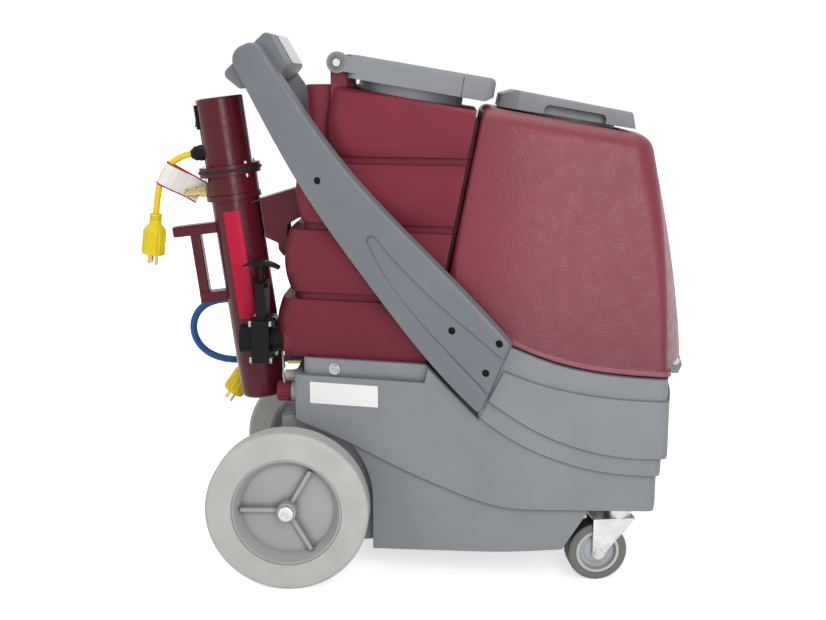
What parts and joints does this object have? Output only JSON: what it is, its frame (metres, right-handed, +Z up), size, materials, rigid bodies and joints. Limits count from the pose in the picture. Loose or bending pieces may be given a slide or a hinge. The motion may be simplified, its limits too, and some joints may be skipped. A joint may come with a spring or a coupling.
{
  "type": "carpet extractor",
  "caption": "Walk-behind portable carpet extractor: wheeled base, recovery tank, tipping solution tank, handle arms and an inline heater with cord, hose and dump valve.",
  "frame": {"origin": "middle of the machine's length and width, on the floor under the wheels", "axes": "+X to the machine's front (casters), +Y to its left, +Z up"},
  "size_m": [0.8975, 0.4518, 0.851],
  "materials": {
    "maroon_shell": "rotomoulded, fine orange peel",
    "maroon_paint": "satin paint",
    "gray_shell": "rotomoulded, fine grain",
    "tyre_gray": "smooth non-marking rubber",
    "rim_gray": "moulded",
    "caster_tread": "smooth",
    "caster_core": "moulded",
    "zinc": "bright zinc plate",
    "bright_steel": "polished",
    "black_bolt": "black oxide",
    "brass": "turned",
    "black_plastic": "moulded",
    "green_switch": "clear green, lit from inside",
    "black_rubber": "matte",
    "port_white": "moulded",
    "yellow_rubber": "smooth",
    "blue_rubber": "smooth",
    "cast_metal": "as cast"
  },
  "bodies": {
    "base": {"recovery_tank": "maroon_shell", "heater_tube": "maroon_paint", "heater_head": "maroon_paint", "heater_handle": "maroon_paint", "heater_bracket": "maroon_paint", "base_tub": "gray_shell", "handle_arm_right": "gray_shell", "handle_arm_left": "gray_shell", "console_box": "gray_shell", "recovery_neck": "gray_shell", "front_hinge_bracket": "gray_shell", "rear_axle": "zinc", "caster_plates": "zinc", "axle_caps": "zinc", "tank_screws": "bright_steel", "recovery_hinge_bolts": "bright_steel", "front_hinge_pin": "bright_steel", "hex_bolts": "bright_steel", "heater_element": "bright_steel", "handle_bolts": "black_bolt", "brass_fittings": "brass", "plug_blades": "brass", "dump_valve_body": "black_plastic", "switch_bezels": "black_plastic", "cord_glands": "black_plastic", "vac_hose_port": "black_plastic", "float_standpipe": "black_plastic", "heater_gasket": "black_rubber", "drain_port": "port_white", "heater_cord": "yellow_rubber", "machine_cord": "yellow_rubber", "heater_plug": "yellow_rubber", "machine_plug": "yellow_rubber", "solution_hose": "blue_rubber", "vacuum_motor": "cast_metal", "solution_pump": "cast_metal"},
    "recovery_lid": {"recovery_lid": "gray_shell", "recovery_lid_gasket": "black_rubber"},
    "solution_tank": {"solution_tank": "maroon_shell", "solution_neck": "gray_shell", "tank_hinge_leaf": "zinc"},
    "solution_lid": {"solution_lid": "gray_shell", "solution_lid_gasket": "black_rubber"},
    "dump_gate": {"dump_gate": "black_plastic", "dump_tee_handle": "black_plastic"},
    "vacuum_switch": {"vacuum_switch": "black_plastic"},
    "pump_switch": {"pump_switch": "black_plastic"},
    "heater_switch": {"heater_switch": "green_switch"},
    "drain_cap": {"drain_cap": "maroon_shell"},
    "rear_wheel_right": {"rear_tyre_right": "tyre_gray", "rear_rim_right": "rim_gray"},
    "caster_fork_right": {"caster_fork_right": "zinc"},
    "caster_wheel_right": {"caster_tyre_right": "caster_tread", "caster_hub_right": "caster_core"},
    "rear_wheel_left": {"rear_tyre_left": "tyre_gray", "rear_rim_left": "rim_gray"},
    "caster_fork_left": {"caster_fork_left": "zinc"},
    "caster_wheel_left": {"caster_tyre_left": "caster_tread", "caster_hub_left": "caster_core"}
  },
  "joints": [
    {"name": "recovery_lid_hinge", "type": "hinge", "parent": "base", "child": "recovery_lid", "pos_m": [-0.13374, 0, 0.80633], "axis": [0, -1, 0], "range_deg": [0, 100]},
    {"name": "solution_tank_tilt", "type": "hinge", "parent": "base", "child": "solution_tank", "pos_m": [0.41026, 0, 0.327], "axis": [0, 1, 0], "range_deg": [0, 75]},
    {"name": "solution_lid_lift", "type": "slide", "parent": "solution_tank", "child": "solution_lid", "axis": [0.1736, 0, 0.9848], "range_m": [0, 0.15]},
    {"name": "dump_gate_pull", "type": "slide", "parent": "base", "child": "dump_gate", "axis": [0, 0, 1], "range_m": [0, 0.042]},
    {"name": "drain_cap_turn", "type": "hinge", "parent": "base", "child": "drain_cap", "pos_m": [-0.21074, -0.06, 0.279], "axis": [-1, 0, 0], "continuous": true},
    {"name": "vacuum_switch_rock", "type": "hinge", "parent": "base", "child": "vacuum_switch", "pos_m": [-0.2656, -0.03, 0.83523], "axis": [0, -1, 0], "range_deg": [0, 16]},
    {"name": "pump_switch_rock", "type": "hinge", "parent": "base", "child": "pump_switch", "pos_m": [-0.2656, 0.03, 0.83523], "axis": [0, -1, 0], "range_deg": [0, 16]},
    {"name": "heater_switch_rock", "type": "hinge", "parent": "base", "child": "heater_switch", "pos_m": [-0.37187, 0, 0.72044], "axis": [0, -1, 0], "range_deg": [0, 16]},
    {"name": "rear_wheel_right_roll", "type": "hinge", "parent": "base", "child": "rear_wheel_right", "pos_m": [-0.21074, -0.195, 0.127], "axis": [0, 1, 0], "continuous": true},
    {"name": "caster_right_swivel", "type": "hinge", "parent": "base", "child": "caster_fork_right", "pos_m": [0.30677, -0.14, 0.0475], "axis": [0, 0, 1], "continuous": true},
    {"name": "caster_right_roll", "type": "hinge", "parent": "caster_fork_right", "child": "caster_wheel_right", "pos_m": [0.2731, -0.14473, 0.0475], "axis": [-0.1392, 0.9903, 0], "continuous": true},
    {"name": "rear_wheel_left_roll", "type": "hinge", "parent": "base", "child": "rear_wheel_left", "pos_m": [-0.21074, 0.195, 0.127], "axis": [0, 1, 0], "continuous": true},
    {"name": "caster_left_swivel", "type": "hinge", "parent": "base", "child": "caster_fork_left", "pos_m": [0.30677, 0.14, 0.0475], "axis": [0, 0, 1], "continuous": true},
    {"name": "caster_left_roll", "type": "hinge", "parent": "caster_fork_left", "child": "caster_wheel_left", "pos_m": [0.2731, 0.13527, 0.0475], "axis": [-0.1392, 0.9903, 0], "continuous": true}
  ]
}
